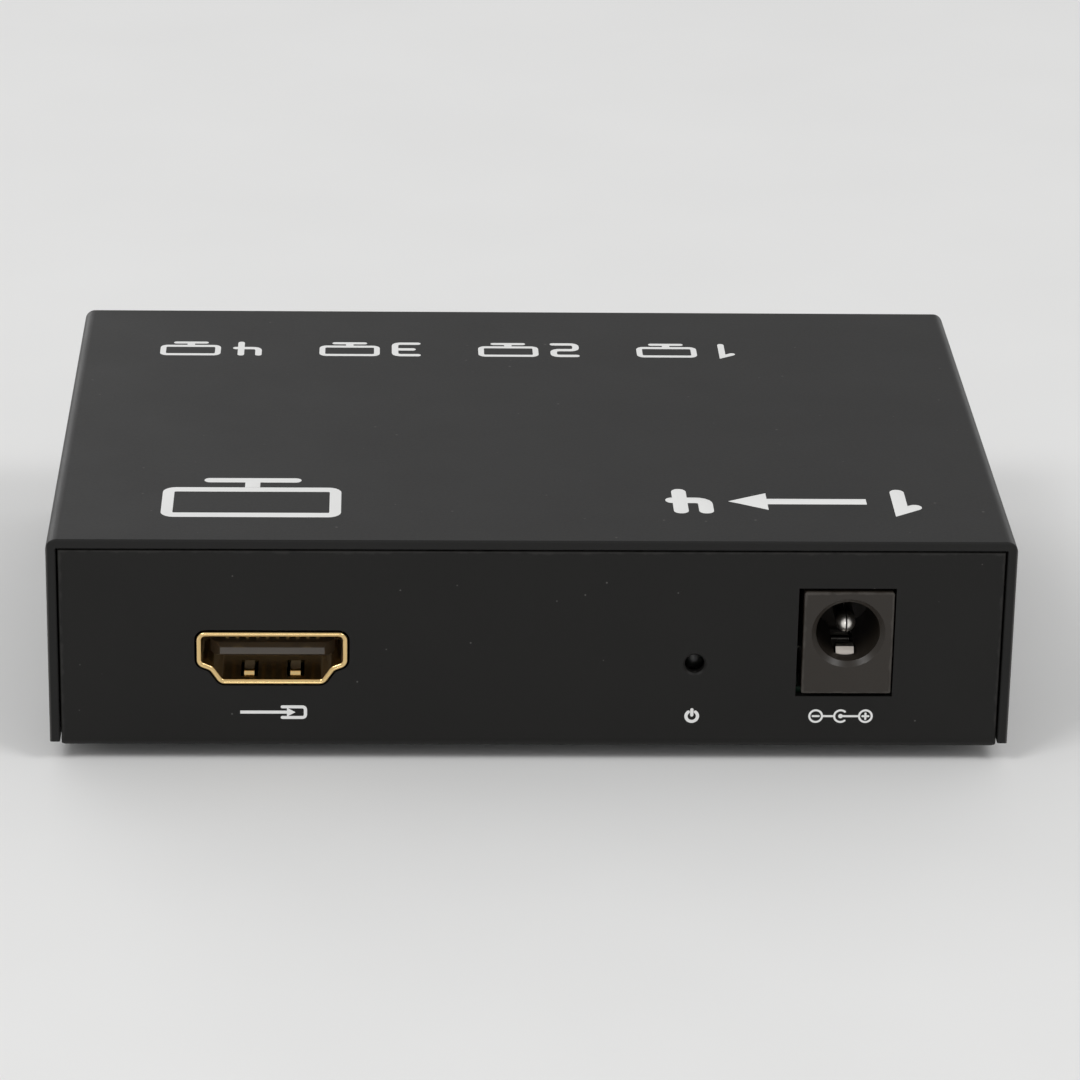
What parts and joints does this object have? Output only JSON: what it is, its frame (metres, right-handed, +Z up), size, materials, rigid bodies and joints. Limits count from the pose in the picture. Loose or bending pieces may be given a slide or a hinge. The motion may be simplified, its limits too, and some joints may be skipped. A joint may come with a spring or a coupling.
{
  "type": "hdmi splitter",
  "caption": "Flat folded-sheet box that copies a video signal to several outputs: an input socket, lamp hole and power jack in front, a row of output sockets behind, feet below.",
  "frame": {"origin": "on the floor under the middle of the case", "axes": "+X to the right seen from in front, -Y out of the front panel with the input socket and power jack, +Y out of the rear panel with the outputs, +Z up"},
  "size_m": [0.096, 0.068, 0.024],
  "materials": {
    "case_coat": "fine-textured matt black coat",
    "black_screw": "satin black",
    "foot_rubber": "matt",
    "board_laminate": "dark green solder mask",
    "plain_brass": "turned",
    "bright_steel": "zinc plated",
    "gold_plate": "bright gold plating",
    "gold_contact": "bright gold plating",
    "black_resin": "moulded, matt",
    "jack_resin": "moulded, satin",
    "nickel_plate": "bright nickel",
    "lamp_resin": "clear resin, unlit",
    "tinned_lead": "tinned",
    "chip_resin": "moulded, matt",
    "pad_rubber": "soft, matt",
    "sink_metal": "black anodised",
    "ferrite": "sintered, matt",
    "can_metal": "drawn",
    "capacitor_ceramic": "fired, matt"
  },
  "bodies": {
    "splitter_case": {"top_cover": "case_coat", "base_tray": "case_coat", "cover_screws": "black_screw", "rubber_feet": "foot_rubber", "main_board": "board_laminate", "board_standoffs": "plain_brass", "board_screws": "bright_steel", "input_socket_shell": "gold_plate", "input_socket_insulator": "black_resin", "input_socket_contacts": "gold_contact", "output_socket_shell_1": "gold_plate", "output_socket_shell_2": "gold_plate", "output_socket_shell_3": "gold_plate", "output_socket_shell_4": "gold_plate", "output_socket_insulator_1": "black_resin", "output_socket_insulator_2": "black_resin", "output_socket_insulator_3": "black_resin", "output_socket_insulator_4": "black_resin", "output_socket_contacts_1": "gold_contact", "output_socket_contacts_2": "gold_contact", "output_socket_contacts_3": "gold_contact", "output_socket_contacts_4": "gold_contact", "jack_body": "jack_resin", "jack_pin": "nickel_plate", "jack_sleeve_terminal": "nickel_plate", "jack_switch_contact": "nickel_plate", "lamp_lens": "lamp_resin", "lamp_leads": "tinned_lead", "splitter_chip": "chip_resin", "splitter_chip_leads": "tinned_lead", "thermal_pad": "pad_rubber", "heat_sink": "sink_metal", "memory_chip": "chip_resin", "memory_chip_leads": "tinned_lead", "voltage_regulator": "chip_resin", "voltage_regulator_leads": "tinned_lead", "power_inductor": "ferrite", "capacitor_cans": "can_metal", "capacitor_bases": "black_resin", "clock_crystal": "can_metal", "chip_resistors": "chip_resin", "chip_capacitors": "capacitor_ceramic"},
    "contact_leaf": {"jack_leaf": "nickel_plate"}
  },
  "joints": [
    {"name": "sleeve_leaf_hinge", "type": "hinge", "parent": "splitter_case", "child": "contact_leaf", "pos_m": [0.0315, -0.0254, 0.0099], "axis": [1, 0, 0], "range_deg": [0, 5], "stiffness_Nm_per_rad": 0.1}
  ]
}
